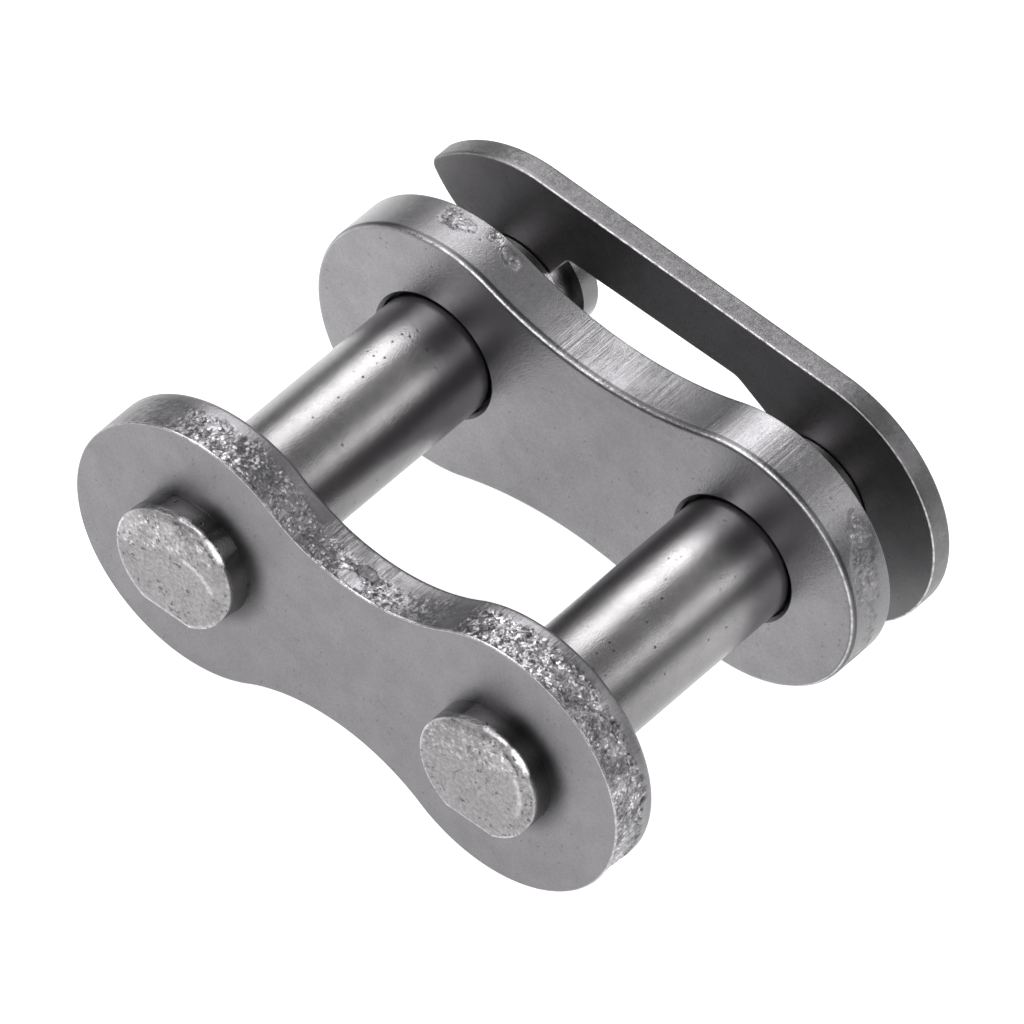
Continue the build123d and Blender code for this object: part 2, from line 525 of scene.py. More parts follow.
# %% [markdown]
# ### Roughen the torn metal
# Three displacements act on the marked vertices. The first sinks the torn metal below the
# smooth band, which leaves the small step seen on any blanked part. The other two are
# cloud noise, coarse for the lumps and fine for the grain. All of them push inwards, so
# the plate stays within its size.

# %% Displace
def cloud(name, size):
    """Cloud noise for a displacement, with lumps of about that size."""
    texture = bpy.data.textures.new(name, "CLOUDS")
    texture.noise_scale = size
    texture.noise_depth = 1
    return texture


lumps = cloud("torn_lumps", 0.45 * MM)
grains = cloud("torn_grains", 0.16 * MM)
for plate in (fixed_plate, loose_plate):
    for name, texture, strength, middle in (
        ("sink", None, -0.04 * MM, 0.0),
        ("lumps", lumps, 0.08 * MM, 0.6),
        ("grains", grains, 0.045 * MM, 0.6),
    ):
        displace = plate.modifiers.new(name, "DISPLACE")
        displace.texture = texture
        displace.texture_coords = "LOCAL"
        displace.strength = strength
        displace.mid_level = middle
        displace.vertex_group = "torn_group"
    apply_modifiers(plate)

# %% [markdown]
# ## The pins
# A pin is turned steel: a ground shank, a narrow groove for the clip, and a short cap
# past it. A lathe profile spun about the pin's axis is the natural way for that.

# %% Turn the shanks
SHANK_STEPS = 180
GROOVE_RADIUS = PIN_RADIUS - 0.5 * MM
CLIP_PLAY = 0.05 * MM
TAIL_CHAMFER = 0.2 * MM
groove_start = clip_low.y - CLIP_PLAY
groove_end = clip_high.y + CLIP_PLAY


def turned_shank(name, x):
    """A pin about the axis at x, from the fixed plate's outer face to the tail."""
    profile = [
        (0, fixed_low.y),
        (PIN_RADIUS, fixed_low.y),
        (PIN_RADIUS, groove_start),
        (GROOVE_RADIUS, groove_start),
        (GROOVE_RADIUS, groove_end),
        (PIN_RADIUS, groove_end),
        (PIN_RADIUS, pin_high.y - TAIL_CHAMFER),
        (PIN_RADIUS - TAIL_CHAMFER, pin_high.y),
        (0, pin_high.y),
    ]
    place = (x, profile[0][1], axis_z)
    shank = start_point(name, place)
    for radius, y in profile[1:]:
        place = line_to(place, (x + radius, y, axis_z))
    bpy.ops.mesh.select_all(action="SELECT")
    bpy.ops.mesh.spin(steps=SHANK_STEPS, angle=2 * pi, center=(x, 0, axis_z), axis=(0, 1, 0))
    bpy.ops.mesh.select_all(action="SELECT")
    bpy.ops.mesh.remove_doubles(threshold=MERGED)
    bpy.ops.mesh.normals_make_consistent(inside=False)
    bpy.ops.object.mode_set(mode="OBJECT")
    return shank

# %% [markdown]
# ### Hammer the heads
# The head is what the riveting tool made of the other end: a short round bar, pressed flat
# on its lower side and nearly flat on its upper one. Its outline is drawn once, three arcs
# and a line, and then extruded forward row by row, a little narrower in the last rows,
# which rounds the front edge. In the front face the extrusions go on inwards as rings.
#
# The blow rolled the front edge over on the upper right, left a thin lip along it, which the
# finish brightens, partly as rubbing and partly as a painted highlight, and on one pin pushed
# the whole head a little to the left. Proportional editing does what the blow did: a few
# vertices of the rim are moved, and their neighbours follow, less with distance. The rows
# and rings give it vertices to follow with.

# %% Riveted heads
HEAD_RADIUS = pin_high.x - left_x
HEAD_FLAT = 2.12 * MM  # from the axis to the lower flat
HEAD_CROWN = 0.12 * MM  # how much the upper side bulges past such a flat
HEAD_BREAK = 0.05 * MM  # how much the front edge is rounded
HEAD_ROOT = 0.4 * MM  # how deep the head starts inside the plate
HEAD_STEP = 0.04 * MM
HEAD_ROWS = 16
HEAD_RINGS = 36
head_front = pin_low.y
flat_reach = sqrt(HEAD_RADIUS**2 - HEAD_FLAT**2)
flat_angle = atan2(HEAD_FLAT, flat_reach)


def head_outline(name, x, y):
    """The head's outline about the axis at x, filled: two arcs, a crowned top and a flat below."""
    crown_radius = (flat_reach**2 + HEAD_CROWN**2) / (2 * HEAD_CROWN)
    crown_centre = (x, y, axis_z + HEAD_FLAT + HEAD_CROWN - crown_radius)
    crown_turn = 2 * asin(flat_reach / crown_radius)
    head = start_point(name, (x + flat_reach, y, axis_z - HEAD_FLAT))
    arc_about((x, y, axis_z), 2 * flat_angle, HEAD_STEP, HEAD_RADIUS)
    arc_about(crown_centre, crown_turn, HEAD_STEP, crown_radius)
    arc_about((x, y, axis_z), 2 * flat_angle, HEAD_STEP, HEAD_RADIUS)
    corner = (x - flat_reach, y, axis_z - HEAD_FLAT)
    line_to(corner, (x + flat_reach, y, axis_z - HEAD_FLAT))
    bpy.ops.mesh.select_all(action="SELECT")
    bpy.ops.mesh.remove_doubles(threshold=MERGED)
    pick(head, "EDGE", lambda e: abs(e.verts[0].co.x - e.verts[1].co.x) > MM)
    bpy.ops.mesh.subdivide(number_cuts=round(2 * flat_reach / HEAD_STEP))
    bpy.ops.mesh.select_all(action="SELECT")
    bpy.ops.mesh.edge_face_add()
    return head


def grow(forward, scale, centre):
    """Extrudes the selected face forward by that much, and scales it about centre."""
    bpy.ops.mesh.extrude_region_move(TRANSFORM_OT_translate={"value": (0, -forward, 0)})
    bpy.ops.transform.resize(value=(scale, 1, scale), center_override=centre)


def on_rim(x, from_angle, to_angle):
    """A test for vertices of the head's front rim, between two angles from +X to +Z."""

    def test(vertex):
        out, up = vertex.co.x - x, vertex.co.z - axis_z
        near_rim = hypot(out, up) > HEAD_RADIUS - 0.08 * MM or abs(up) > HEAD_FLAT - 0.06 * MM
        in_front = vertex.co.y < head_front + 0.55 * MM
        return near_rim and in_front and from_angle < degrees(atan2(up, out)) < to_angle

    return test


def push(value, reach, falloff="SMOOTH"):
    """Moves the selected vertices, and those within reach of them by less."""
    bpy.ops.transform.translate(
        value=value,
        use_proportional_edit=True,
        proportional_edit_falloff=falloff,
        proportional_size=reach,
    )


BLOWS = (  # the angles of the rim that are hit, where it goes, and how far off that is felt
    (86, 94, (0, 0, 0.05 * MM), 1.1 * MM),
    (-8, 70, (0, 0.12 * MM, 0), 0.9 * MM),
    (-25, 95, (0, 0.08 * MM, 0), 0.45 * MM),
    (66, 92, (0, 0.08 * MM, 0), 0.2 * MM),
    (38, 61, (0, 0.09 * MM, 0), 0.2 * MM),
)


def riveted_head(name, x, lean):
    """The head at x, with its front pushed by lean, and closed inside the plate."""
    root = fixed_low.y + HEAD_ROOT
    head = head_outline(name, x, root)
    centre = (x, head_front, axis_z)
    wall = root - head_front - HEAD_BREAK
    for _ in range(HEAD_ROWS):
        grow(wall / HEAD_ROWS, 1, centre)
    width = HEAD_RADIUS
    for turn in (30, 60, 90):
        narrow = HEAD_RADIUS - HEAD_BREAK * (1 - cos(radians(turn)))
        forward = HEAD_BREAK * (sin(radians(turn)) - sin(radians(turn - 30)))
        grow(forward, narrow / width, centre)
        width = narrow
    for ring in range(HEAD_RINGS - 1, 0, -1):
        grow(0, ring / (ring + 1), centre)
    bpy.ops.mesh.select_all(action="SELECT")
    bpy.ops.mesh.normals_make_consistent(inside=False)

    for from_angle, to_angle, value, reach in BLOWS:
        pick(head, "VERT", on_rim(x, from_angle, to_angle))
        push(value, reach)
    pick(head, "VERT", lambda v: v.co.y < head_front + 0.4 * MM)
    push(lean, HEAD_ROOT + 0.5 * MM, "LINEAR")
    bpy.ops.object.mode_set(mode="OBJECT")
    return head


def whole_pin(side, x, lean):
    """A shank with its head joined to it, about the axis at x."""
    shank = turned_shank(f"{side}_shank", x)
    head = riveted_head(f"{side}_head", x, lean)
    alone(shank)
    head.select_set(True)
    bpy.ops.object.join()
    shank.name = f"{side}_pin_steel"
    return shank


LEFT_LEAN = (-0.16 * MM, 0, -0.04 * MM)
left_pin = whole_pin("left", left_x, LEFT_LEAN)
right_pin = whole_pin("right", right_x, (0, 0, 0))
print("pins:", len(left_pin.data.vertices), "vertices each")

# %% [markdown]
# ## The spring clip
# The clip is blanked from spring strip. Its closed end goes round the right pin's
# groove, and two legs reach back to grip the left pin's. Half of it is drawn with
# lines and arcs, from the closed end over the upper leg to the tip and back along the
# inside, and mirrored: the lower half is the same.
#
# The leg runs straight from the closed end's arc to the shoulder's, and touches both. The
# mouth's flare bows a little towards the metal. On both sides of the tip a short straight
# piece leaves room for the rounding of the corner.

# %% Draw half the clip
CLIP_END_RADIUS = clip_high.x - right_x
LEG_SPREAD = radians(2.15)
SHOULDER_RADIUS = 5.14 * MM
SHOULDER_X = left_x + 0.34 * MM
MOUTH = 6.6 * MM / 2  # heights are half heights here, from the pins' axes
THROAT = 3.0 * MM / 2
THROAT_X = left_x - 1.83 * MM
SLOT = 5.86 * MM / 2
SLOT_TAPER = radians(0.91)
LIP_X = left_x + 1.2 * MM
SLOT_START = left_x + 2.0 * MM
SLOT_END = left_x + 9.15 * MM
SEAT_LEAD = right_x - 1.7 * MM
CORNER = 0.2 * MM
TIP_ROUNDING = 0.3 * MM
TIP_ROOM = TIP_ROUNDING + 0.05 * MM
FLARE_BOW = 0.2 * MM
CLIP_STEP = 0.08 * MM


def on_clip(x, z):
    """A point on the clip's front face, with z from the pins' axes."""
    return Vector((x, clip_low.y, axis_z + z))


def on_circle(centre, radius, angle):
    """The point of a circle about centre at angle, counted from +X to +Z."""
    return centre + radius * Vector((cos(angle), 0, sin(angle)))


leg_angle = pi / 2 - LEG_SPREAD
leg_touch = on_circle(on_clip(right_x, 0), CLIP_END_RADIUS, leg_angle)
leg_offset = (leg_touch.x - SHOULDER_X) * cos(leg_angle) + (leg_touch.z - axis_z) * sin(leg_angle)
shoulder = on_clip(SHOULDER_X, (leg_offset - SHOULDER_RADIUS) / sin(leg_angle))
tip_rise = axis_z + MOUTH - shoulder.z
tip_angle = pi - atan2(tip_rise, sqrt(SHOULDER_RADIUS**2 - tip_rise**2))
tip = on_clip(shoulder.x + SHOULDER_RADIUS * cos(tip_angle), MOUTH)
short_of_tip = tip_angle - TIP_ROOM / SHOULDER_RADIUS

flare = on_clip(THROAT_X, THROAT) - tip
flare_radius = (flare.length**2 / 4 + FLARE_BOW**2) / (2 * FLARE_BOW)
into_metal = Vector((-flare.z, 0, flare.x)).normalized()
flare_centre = tip + flare / 2 + into_metal * (flare_radius - FLARE_BOW)
flare_turn = 2 * asin(flare.length / 2 / flare_radius)
from_centre = tip - flare_centre
flare_start = atan2(from_centre.z, from_centre.x)
flare_room = TIP_ROOM / flare_radius

throat_cut = sqrt(GROOVE_RADIUS**2 - THROAT**2)
seat_turn = pi - 2 * atan2(THROAT, throat_cut)
slot_end_z = SLOT - (SLOT_END - SLOT_START) * tan(SLOT_TAPER)
inner_corners = (
    (LIP_X, THROAT),
    (SLOT_START, SLOT),
    (SLOT_END, slot_end_z),
    (SEAT_LEAD, GROOVE_RADIUS),
)

clip = start_point("spring_clip_steel", on_clip(right_x + CLIP_END_RADIUS, 0))
arc_about(on_clip(right_x, 0), leg_angle, CLIP_STEP, CLIP_END_RADIUS)
line_to(leg_touch, on_circle(shoulder, SHOULDER_RADIUS, leg_angle))
arc_about(shoulder, short_of_tip - leg_angle, CLIP_STEP, SHOULDER_RADIUS)
line_to(on_circle(shoulder, SHOULDER_RADIUS, short_of_tip), tip)
line_to(tip, on_circle(flare_centre, flare_radius, flare_start + flare_room))
arc_about(flare_centre, flare_turn - 2 * flare_room, CLIP_STEP, flare_radius)
flare_end = on_circle(flare_centre, flare_radius, flare_start + flare_turn - flare_room)
place = line_to(flare_end, on_clip(THROAT_X, THROAT))
line_to(place, on_clip(left_x - throat_cut, THROAT))
arc_about(on_clip(left_x, 0), -seat_turn, CLIP_STEP, GROOVE_RADIUS)
place = on_clip(left_x + throat_cut, THROAT)
for x, z in (*inner_corners, (right_x, GROOVE_RADIUS)):
    place = line_to(place, on_clip(x, z))
arc_about(on_clip(right_x, 0), -pi / 2, CLIP_STEP, GROOVE_RADIUS)
print(f"upper tip {(tip.x - left_x) / MM:.2f} mm from the left pin, {MOUTH / MM:.2f} mm up")

# %% [markdown]
# ### From half an outline to a flat spring
# Mirroring is a duplicate scaled by -1 and merged at the middle. One face then fills the
# outline, and its inner corners are rounded while the shape is still flat. That face
# bends back on itself so much that Blender would fill it wrongly when it is cut into
# triangles, so a few straight bisects divide the finished spring into simple pieces.

# %% Mirror, fill, thicken
CLIP_BROKEN = 0.08 * MM
BESIDE = 0.013 * MM  # keeps each dividing cut off the vertices near it

bpy.ops.mesh.select_all(action="SELECT")
bpy.ops.mesh.duplicate()
bpy.ops.transform.resize(value=(1, 1, -1), center_override=(0, 0, axis_z))
bpy.ops.mesh.select_all(action="SELECT")
bpy.ops.mesh.remove_doubles(threshold=MERGED)
bpy.ops.mesh.edge_face_add()


def round_corners(corners, radius, segments):
    """Rounds the flat clip's corners at these (x, half height) places, above and below."""

    def at_corner(vertex):
        up = abs(vertex.co.z - axis_z)
        return any(hypot(vertex.co.x - x, up - z) < CLOSE for x, z in corners)

    pick(clip, "VERT", at_corner)
    bpy.ops.mesh.bevel(offset=radius, segments=segments, affect="VERTICES", clamp_overlap=True)


round_corners(((THROAT_X, THROAT), *inner_corners), CORNER, 6)
round_corners(((tip.x, MOUTH),), TIP_ROUNDING, 8)
bpy.ops.mesh.select_all(action="SELECT")
thicken(clip_high.y - clip_low.y)
for y in (clip_low.y, clip_high.y):
    round_rim(clip, y, CLIP_BROKEN, segments=4)
    ring_inside(clip, y)
add_rows(clip, 8, least=0.5 * MM)
corner_places = [x for x, z in inner_corners]
for x in (THROAT_X, left_x, *corner_places, right_x, right_x + GROOVE_RADIUS):
    bpy.ops.mesh.select_all(action="SELECT")
    bpy.ops.mesh.bisect(plane_co=(x + BESIDE, 0, 0), plane_no=(1, 0, 0))
bpy.ops.mesh.select_all(action="SELECT")
bpy.ops.mesh.bisect(plane_co=(0, 0, axis_z), plane_no=(0, 0, 1))
bpy.ops.object.mode_set(mode="OBJECT")
print("clip:", len(clip.data.polygons), "faces")

# %% [markdown]
# ## Smooth where it is round
# Shading is smooth across small angles and sharp across large ones. The plates allow
# larger angles, so that their torn metal glints in soft lumps and not in flat chips.

# %% Shade the pieces
SHARP_FROM = ((fixed_plate, 40), (loose_plate, 40), (left_pin, 35), (right_pin, 35), (clip, 30))
for piece, angle in SHARP_FROM:
    alone(piece)
    bpy.ops.object.shade_smooth_by_angle(angle=radians(angle))

# %% [markdown]
# ## Steel
# Bare steel has hardly any colour of its own. What tells one surface from the next is how
# rough it is and what relief it has, from a tenth of a millimetre down. Every material
# here is the same metallic shader, fed by a few effects that are built once as node
# groups. Each group works in millimetres, measured on the piece itself, and puts out a
# tone to multiply the colour by and a height in millimetres for a Bump node.

# %% Node helpers
def add_node(tree, kind, inputs=None, **settings):
    """A node with its settings, its inputs set to values or linked to other nodes' sockets."""
    node = tree.nodes.new(kind)
    for name, value in settings.items():
        setattr(node, name, value)
    for name, value in (inputs or {}).items():
        if isinstance(value, bpy.types.NodeSocket):
            tree.links.new(value, node.inputs[name])
        else:
            node.inputs[name].default_value = value
    return node


def sums(tree, operation, first, second):
    """The result of a Math node on two numbers or sockets."""
    return add_node(tree, "ShaderNodeMath", {0: first, 1: second}, operation=operation).outputs[0]


def vectors(tree, operation, first, second):
    """The node that does the operation on two vectors or sockets."""
    return add_node(tree, "ShaderNodeVectorMath", {0: first, 1: second}, operation=operation)


def length_of(tree, vector):
    """The length of a vector socket."""
    node = add_node(tree, "ShaderNodeVectorMath", {0: vector}, operation="LENGTH")
    return node.outputs["Value"]


def in_millimetres(tree, stretch=(1, 1, 1)):
    """Object coordinates in millimetres, with each axis multiplied by stretch."""
    place = add_node(tree, "ShaderNodeTexCoord").outputs["Object"]
    per_metre = tuple(share / MM for share in stretch)
    return vectors(tree, "MULTIPLY", place, per_metre).outputs["Vector"]


def fades(tree, value, low, high, to_low=0.0, to_high=1.0):
    """Maps value from low..high to to_low..to_high, smoothly and without going past."""
    inputs = {
        "Value": value, "From Min": low, "From Max": high, "To Min": to_low, "To Max": to_high,
    }
    mapped = add_node(tree, "ShaderNodeMapRange", inputs, interpolation_type="SMOOTHSTEP")
    return mapped.outputs["Result"]


def clouds(tree, place, scale, detail=2.0, roughness=0.5):
    """Noise about 0.5 with features of about 1 / scale millimetres."""
    inputs = {"Vector": place, "Scale": scale, "Detail": detail, "Roughness": roughness}
    return add_node(tree, "ShaderNodeTexNoise", inputs).outputs["Fac"]


def new_group(name, inputs):
    """A node group with number inputs and the outputs Tone and Height."""
    group = bpy.data.node_groups.new(name, "ShaderNodeTree")
    for socket, value in inputs.items():
        made = group.interface.new_socket(socket, in_out="INPUT", socket_type="NodeSocketFloat")
        made.default_value = value
    for socket in ("Tone", "Height"):
        group.interface.new_socket(socket, in_out="OUTPUT", socket_type="NodeSocketFloat")
    given = group.nodes.new("NodeGroupInput")
    return group, given.outputs, group.nodes.new("NodeGroupOutput").inputs

# %% [markdown]
# ### Tumbled skin
# Links are tumbled together until they are clean, and that leaves a fine dull skin with
# cloudy patches, a grain too small to count, and here and there a pit. Clouds come from
# slow noise, grain from quick noise. A pit is the middle of a Voronoi cell, and a
# second reading of the cell, its random colour, lets only some of the cells have one.

# %% The skin group
def make_skin():
    """Mottle, Grain and Pits say how strong the clouds, the grain and the pits are."""
    group, given, out = new_group("tumbled_skin", {"Mottle": 0.1, "Grain": 0.1, "Pits": 0.3})
    place = in_millimetres(group)
    slow = fades(group, clouds(group, place, 0.9, 4.0, 0.6), 0.3, 0.7, -0.5, 0.5)
    quick = fades(group, clouds(group, place, 16.0, 3.0, 0.7), 0.25, 0.75, -0.5, 0.5)
    cell = add_node(group, "ShaderNodeTexVoronoi", {"Vector": place, "Scale": 3.2})
    number = add_node(group, "ShaderNodeSeparateColor", {0: cell.outputs["Color"]}).outputs[0]
    chosen = fades(group, number, 0.5, 0.9)
    middle = fades(group, cell.outputs["Distance"], 0.22, 0.08)
    pits = sums(group, "MULTIPLY", sums(group, "MULTIPLY", middle, chosen), given["Pits"])
    grain = sums(group, "MULTIPLY", quick, given["Grain"])
    tone = sums(group, "ADD", sums(group, "MULTIPLY", slow, given["Mottle"]), grain)
    tone = sums(group, "SUBTRACT", sums(group, "ADD", tone, 1.0), pits)
    group.links.new(tone, out["Tone"])
    height = sums(group, "MULTIPLY", grain, 0.018)
    height = sums(group, "SUBTRACT", height, sums(group, "MULTIPLY", pits, 0.01))
    group.links.new(height, out["Height"])
    return group


skin = make_skin()

# %% [markdown]
# ### Torn grain
# Torn steel is a heap of tiny flat facets, each tilted its own way, and it glitters. A
# Voronoi pattern has the cells. The tilt is a trick: the vector from the cell's middle to
# the point, multiplied by a random vector that the whole cell shares, is a height that
# rises evenly across the cell, so each cell becomes a small slope. A few cells also get
# painted glints: their colour is raised, as if they caught the light.

# %% The torn grain group
def facets(tree, place, scale, tilt):
    """The height of facets of about 1 / scale millimetres, and a random number for each."""
    scaled = vectors(tree, "MULTIPLY", place, (scale,) * 3).outputs["Vector"]
    cell = add_node(tree, "ShaderNodeTexVoronoi", {"Vector": scaled, "Scale": 1.0})
    away = vectors(tree, "SUBTRACT", scaled, cell.outputs["Position"])
    slope = vectors(tree, "SUBTRACT", cell.outputs["Color"], (0.5, 0.5, 0.5))
    rise = vectors(tree, "DOT_PRODUCT", away.outputs["Vector"], slope.outputs["Vector"])
    shade = add_node(tree, "ShaderNodeSeparateColor", {0: cell.outputs["Color"]}).outputs[1]
    return sums(tree, "MULTIPLY", rise.outputs["Value"], 2 * tilt / scale), shade


def make_torn():
    """Strength says how far the facets tilt, how much they differ in tone and how bright the
    painted glints are.
    """
    group, given, out = new_group("torn_grain", {"Strength": 1.0})
    place = in_millimetres(group)
    coarse, coarse_shade = facets(group, place, 6.0, 0.20)
    fine, fine_shade = facets(group, place, 11.0, 0.18)
    lumps = sums(group, "MULTIPLY", clouds(group, place, 4.5, 2.0, 0.55), 0.055)
    height = sums(group, "ADD", sums(group, "ADD", coarse, fine), lumps)
    group.links.new(sums(group, "MULTIPLY", height, given["Strength"]), out["Height"])
    patches = fades(group, clouds(group, place, 1.3, 2.0), 0.35, 0.65, 0.72, 1.25)
    chips = sums(
        group,
        "ADD",
        fades(group, coarse_shade, 0.1, 0.9, -0.18, 0.18),
        fades(group, fine_shade, 0.1, 0.9, 0.85, 1.15),
    )
    # Painted glints: a few cells get their colour raised up to 1.7 times.
    glints = fades(group, fine_shade, 0.86, 0.92, 1.0, 1.7)
    tone = sums(group, "MULTIPLY", sums(group, "MULTIPLY", chips, glints), patches)
    lift = sums(group, "SUBTRACT", tone, 1.0)
    lift = sums(group, "MULTIPLY", lift, given["Strength"])
    group.links.new(sums(group, "ADD", lift, 1.0), out["Tone"])
    return group


torn_grain = make_torn()

# %% [markdown]
# ### Drawn lines
# Where the punch slid past, it drew fine lines into the edge, straight across the
# plate's thickness. They are noise squashed along Y, quick along the outline and slow
# along the punch's way.

# %% The drawn lines group
def make_lines():
    """Strength says how deep the lines are."""
    group, given, out = new_group("drawn_lines", {"Strength": 1.0})
    lines = clouds(group, in_millimetres(group, (7.0, 0.35, 7.0)), 1.0, 4.0, 0.65)
    breaks = clouds(group, in_millimetres(group, (0.7, 0.5, 0.7)), 1.0, 2.0)
    amount = sums(group, "MULTIPLY", fades(group, breaks, 0.35, 0.6), given["Strength"])
    line = sums(group, "MULTIPLY", fades(group, lines, 0.3, 0.7, -0.5, 0.5), amount)
    tone = sums(group, "MULTIPLY", line, 0.35)
    group.links.new(sums(group, "ADD", tone, 1.0), out["Tone"])
    group.links.new(sums(group, "MULTIPLY", line, 0.012), out["Height"])
    return group


drawn_lines = make_lines()

# %% [markdown]
# ### Polished rims with painted highlights, and hammered fronts
# Tumbling knocks the links' edges together, so each rim is brighter than the faces beside
# it, in dashes where it was hit. The finishes raise that much further, as a painted
# highlight for the light the rims catch. The riveting tool leaves its own print on the pins'
# fronts: a dense speckle of tiny dents, some dark and some bright, with clusters of pits.

# %% Rim groups with painted highlight, and speckle groups
def make_polish_and_highlight():
    """Strength says how bright the rim is, partly rubbing and partly a painted highlight, and
    Dashes how dark the gaps between hits are.
    """
    group, given, out = new_group("rim_polish_and_highlight", {"Strength": 1.0, "Dashes": 1.0})
    gaps = fades(group, clouds(group, in_millimetres(group), 4.0, 3.0, 0.6), 0.35, 0.6, 0.75, 0.0)
    dashes = sums(group, "SUBTRACT", 1.0, sums(group, "MULTIPLY", gaps, given["Dashes"]))
    lift = sums(group, "MULTIPLY", sums(group, "MULTIPLY", dashes, given["Strength"]), 1.5)
    group.links.new(sums(group, "ADD", lift, 1.0), out["Tone"])
    return group


def make_speckle():
    """Strength says how deep the dents are."""
    group, given, out = new_group("hammer_speckle", {"Strength": 1.0})
    place = in_millimetres(group)
    dents = fades(group, clouds(group, place, 6.5, 4.0, 0.65), 0.32, 0.68, -0.5, 0.5)
    dents = sums(group, "MULTIPLY", dents, given["Strength"])
    clusters = fades(group, clouds(group, place, 1.5, 2.0), 0.42, 0.62)
    pits = fades(group, clouds(group, place, 7.0, 1.0), 0.42, 0.34)
    pits = sums(group, "MULTIPLY", pits, clusters)
    tone = sums(group, "ADD", sums(group, "MULTIPLY", dents, 0.36), 0.90)
    tone = sums(group, "SUBTRACT", tone, sums(group, "MULTIPLY", pits, 0.5))
    group.links.new(tone, out["Tone"])
    height = sums(group, "SUBTRACT", dents, pits)
    group.links.new(sums(group, "MULTIPLY", height, 0.012), out["Height"])
    return group


rim_polish_and_highlight = make_polish_and_highlight()
hammer_speckle = make_speckle()

# %% [markdown]
# ### The finishes
# One function lays out every finish: a colour that the tones multiply, a roughness
# that may change with a mask, and bumps one after another. `masked` lets a tone count only
# where a mark says so. That is how the plates get torn grain, drawn lines and rims bright
# from rubbing and a painted highlight, each in its own place, and the pins the hammered
# print on their heads. The shade mark multiplies painted light and shade into the colour.

# %% Steel finishes
def use_group(tree, group, **inputs):
    """Places a node group with some of its inputs set, and returns its outputs."""
    placed = tree.nodes.new("ShaderNodeGroup")
    placed.node_tree = group
    for name, value in inputs.items():
        placed.inputs[name].default_value = value
    return placed.outputs


def mixed(tree, mask, low, high):
    """low where mask is 0 and high where it is 1, for numbers, and past high above 1."""
    inputs = {"Factor": mask, 2: low, 3: high}
    return add_node(tree, "ShaderNodeMix", inputs, data_type="FLOAT", clamp_factor=False).outputs[0]


def masked(tree, tone, *masks_and_tones):
    """tone times each further tone, where that one's mask is 1."""
    for mask, further in masks_and_tones:
        tone = sums(tree, "MULTIPLY", tone, mixed(tree, mask, 1.0, further))
    return tone


def started(name):
    """A new material with nodes, and its node tree."""
    material = bpy.data.materials.new(name)
    material.use_nodes = True
    return material, material.node_tree


def finished(material, colour, roughness, tone, heights):
    """Makes material a metal: colour times tone, and each of heights, in millimetres, a bump."""
    tree = material.node_tree
    shader = tree.nodes["Principled BSDF"]
    shader.inputs["Metallic"].default_value = 1.0
    toned = add_node(tree, "ShaderNodeVectorMath", {0: colour, "Scale": tone}, operation="SCALE")
    tree.links.new(toned.outputs["Vector"], shader.inputs["Base Color"])
    tree.links.new(roughness, shader.inputs["Roughness"])
    normal = None
    for height in heights:
        inputs = {"Height": height, "Strength": 1.0, "Distance": MM}
        if normal:
            inputs["Normal"] = normal
        normal = add_node(tree, "ShaderNodeBump", inputs).outputs["Normal"]
    tree.links.new(normal, shader.inputs["Normal"])
    return material


def marks(tree, *names):
    """The numbers that mark stored under these names."""
    return [
        add_node(tree, "ShaderNodeAttribute", attribute_name=name).outputs["Fac"] for name in names
    ]


def painted_head_shadow(tree, x):
    """Painted shadow on the fixed plate's face round the head at x, darkest to its upper right."""
    middle = (x / MM + 0.45, 0, axis_z / MM + 0.25)
    from_middle = vectors(tree, "SUBTRACT", in_millimetres(tree, (1, 0, 1)), middle)
    away = length_of(tree, from_middle.outputs["Vector"])
    depth = add_node(tree, "ShaderNodeSeparateXYZ", {0: in_millimetres(tree)}).outputs["Y"]
    behind = fades(tree, depth, fixed_low.y / MM + 0.2, fixed_low.y / MM + 0.4)
    return sums(tree, "MAXIMUM", behind, fades(tree, away, 2.0, 2.85, 0.36, 1.0))


def plate_steel(name, colour, roughness, polish_and_highlight_strength, rings=()):
    """Blanked plate: tumbled faces, an edge band with drawn lines and torn metal, rims bright from
    rubbing and a painted highlight, painted light and shade, and painted shadows round any heads
    given in rings.
    """
    material, tree = started(name)
    torn, lined, wear_and_highlight, shade = marks(tree, "torn", "lined", "wear_and_highlight", "shade")
    surface = use_group(tree, skin, Mottle=0.12, Grain=0.22, Pits=0.3)
    grain = use_group(tree, torn_grain)
    drawn = use_group(tree, drawn_lines)
    polish_and_highlight = use_group(tree, rim_polish_and_highlight, Strength=polish_and_highlight_strength, Dashes=0.8)
    smooth_band = sums(tree, "MULTIPLY", lined, sums(tree, "SUBTRACT", 1.0, torn))
    # The shade mark: painted light and shade, multiplied into the colour.
    tone = sums(tree, "MULTIPLY", surface["Tone"], shade)
    tone = masked(
        tree, tone, (torn, grain["Tone"]), (smooth_band, drawn["Tone"]), (wear_and_highlight, polish_and_highlight["Tone"])
    )
    # Painted shadow round each head given in rings.
    for x in rings:
        tone = sums(tree, "MULTIPLY", tone, painted_head_shadow(tree, x))
    heights = (
        surface["Height"],
        sums(tree, "MULTIPLY", drawn["Height"], smooth_band),
        sums(tree, "MULTIPLY", grain["Height"], torn),
    )
    roughness = mixed(tree, wear_and_highlight, mixed(tree, torn, roughness, 0.30), 0.25)
    return finished(material, colour, roughness, tone, heights)


